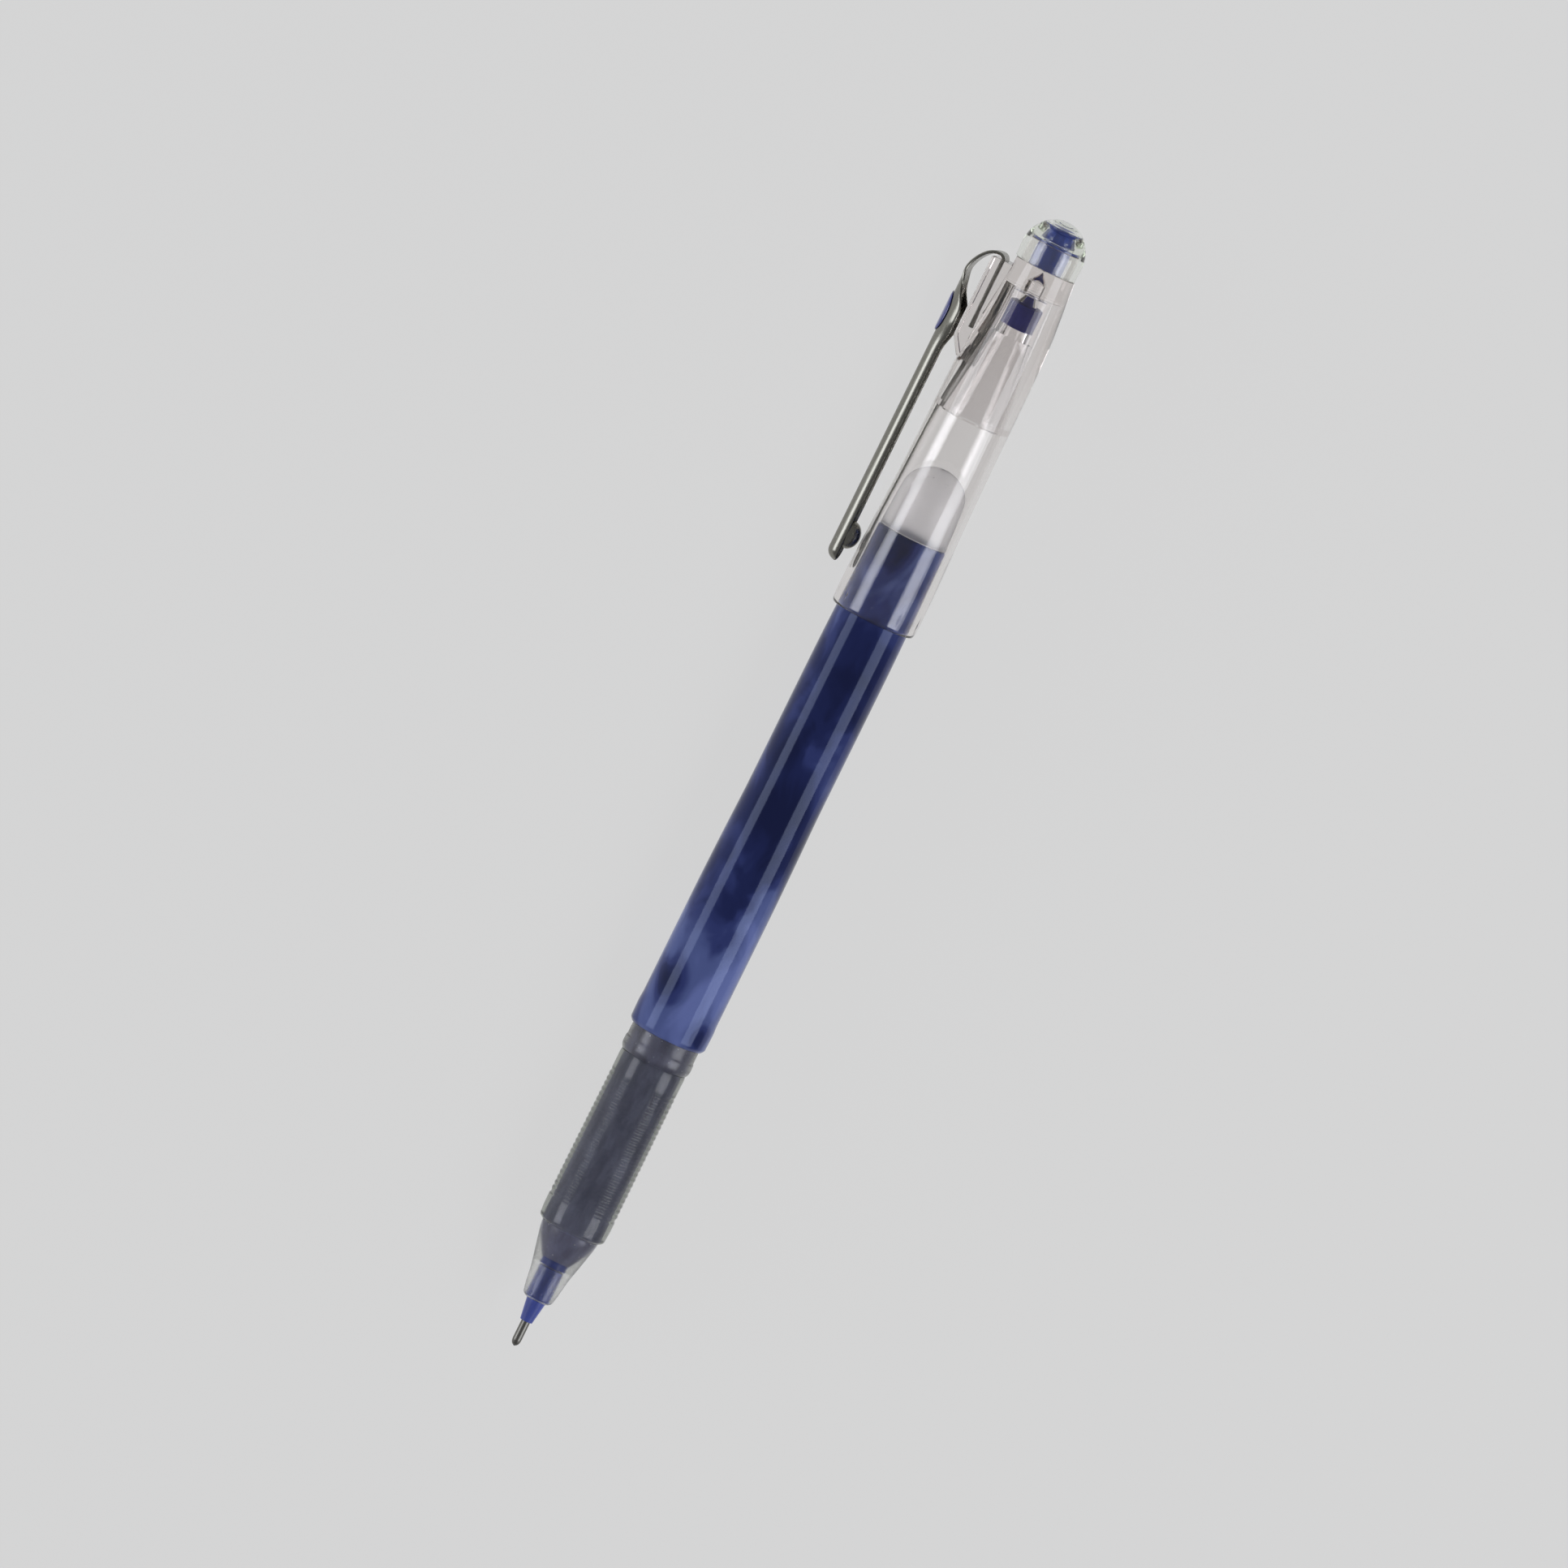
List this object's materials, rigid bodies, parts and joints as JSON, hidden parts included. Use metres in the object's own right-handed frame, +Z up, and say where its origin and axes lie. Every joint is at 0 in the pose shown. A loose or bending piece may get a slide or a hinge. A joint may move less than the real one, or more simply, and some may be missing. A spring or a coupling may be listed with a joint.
{
  "type": "capped gel pen",
  "caption": "Capped needle-tip gel pen with a marbled barrel, ribbed grip and a clear cap with a sprung steel clip, posted on its rear.",
  "frame": {"origin": "centre of the bounding box in X and Y, on the plane that the pen lies on", "axes": "+X from the writing tip to the crown of the cap, +Z up from the plane that the pen lies on, the clip on the +Y side and turned 28.9 degrees down to that plane"},
  "size_m": [0.163, 0.015, 0.012],
  "materials": {
    "carbide": "polished hard metal",
    "tip_steel": "drawn stainless steel",
    "blue_plastic": "moulded blue plastic",
    "frosted_tube": "milky extruded tube",
    "ink": "dark blue gel ink",
    "grease": "clear grease",
    "white_plastic": "moulded white plastic",
    "clear_plastic": "clear moulded plastic, very faintly pink",
    "grip_rubber": "translucent ribbed rubber",
    "marbled_plastic": "glossy blue plastic with soft cloudy marbling",
    "frosted_plastic": "frosted translucent plastic",
    "navy_seal": "soft navy plastic",
    "crown_plastic": "clear moulded plastic, very faintly green",
    "jewel_plastic": "glossy blue plastic",
    "clip_steel": "pressed, polished steel sheet",
    "badge_enamel": "plain blue enamel"
  },
  "bodies": {
    "pen_body": {"needle_tip": "tip_steel", "tip_holder": "blue_plastic", "cartridge_tube": "frosted_tube", "ink_column": "ink", "front_section": "clear_plastic", "grip_sleeve": "grip_rubber", "barrel": "marbled_plastic", "tail_plug": "frosted_plastic"},
    "ball": {"writing_ball": "carbide"},
    "check_valve": {"check_ball": "tip_steel"},
    "follower": {"follower_grease": "grease", "follower_float": "white_plastic"},
    "cap": {"cap_shell": "clear_plastic", "inner_cap": "clear_plastic", "tip_seal": "navy_seal", "crown_dome": "crown_plastic", "crown_jewel": "jewel_plastic", "clip_root": "clip_steel"},
    "clip": {"clip_arm": "clip_steel", "clip_badge": "badge_enamel"}
  },
  "joints": [
    {"name": "cap_pull", "type": "slide", "parent": "pen_body", "child": "cap", "axis": [1, 0, 0], "range_m": [0, 0.03]},
    {"name": "clip_flex", "type": "hinge", "parent": "cap", "child": "clip", "pos_m": [0.074, 0.00366, 0.0032], "axis": [0, -0.4827, -0.8758], "range_deg": [0, 7], "stiffness_Nm_per_rad": 1},
    {"name": "ball_roll", "type": "hinge", "parent": "pen_body", "child": "ball", "pos_m": [-0.08125, -0.00147, 0.00602], "axis": [0, 0.4827, 0.8758], "continuous": true},
    {"name": "check_ball_travel", "type": "slide", "parent": "pen_body", "child": "check_valve", "axis": [-1, 0, 0], "range_m": [0, 0.0012]},
    {"name": "follower_advance", "type": "slide", "parent": "pen_body", "child": "follower", "axis": [-1, 0, 0], "range_m": [0, 0.078], "deforming": ["ink_column"]}
  ]
}
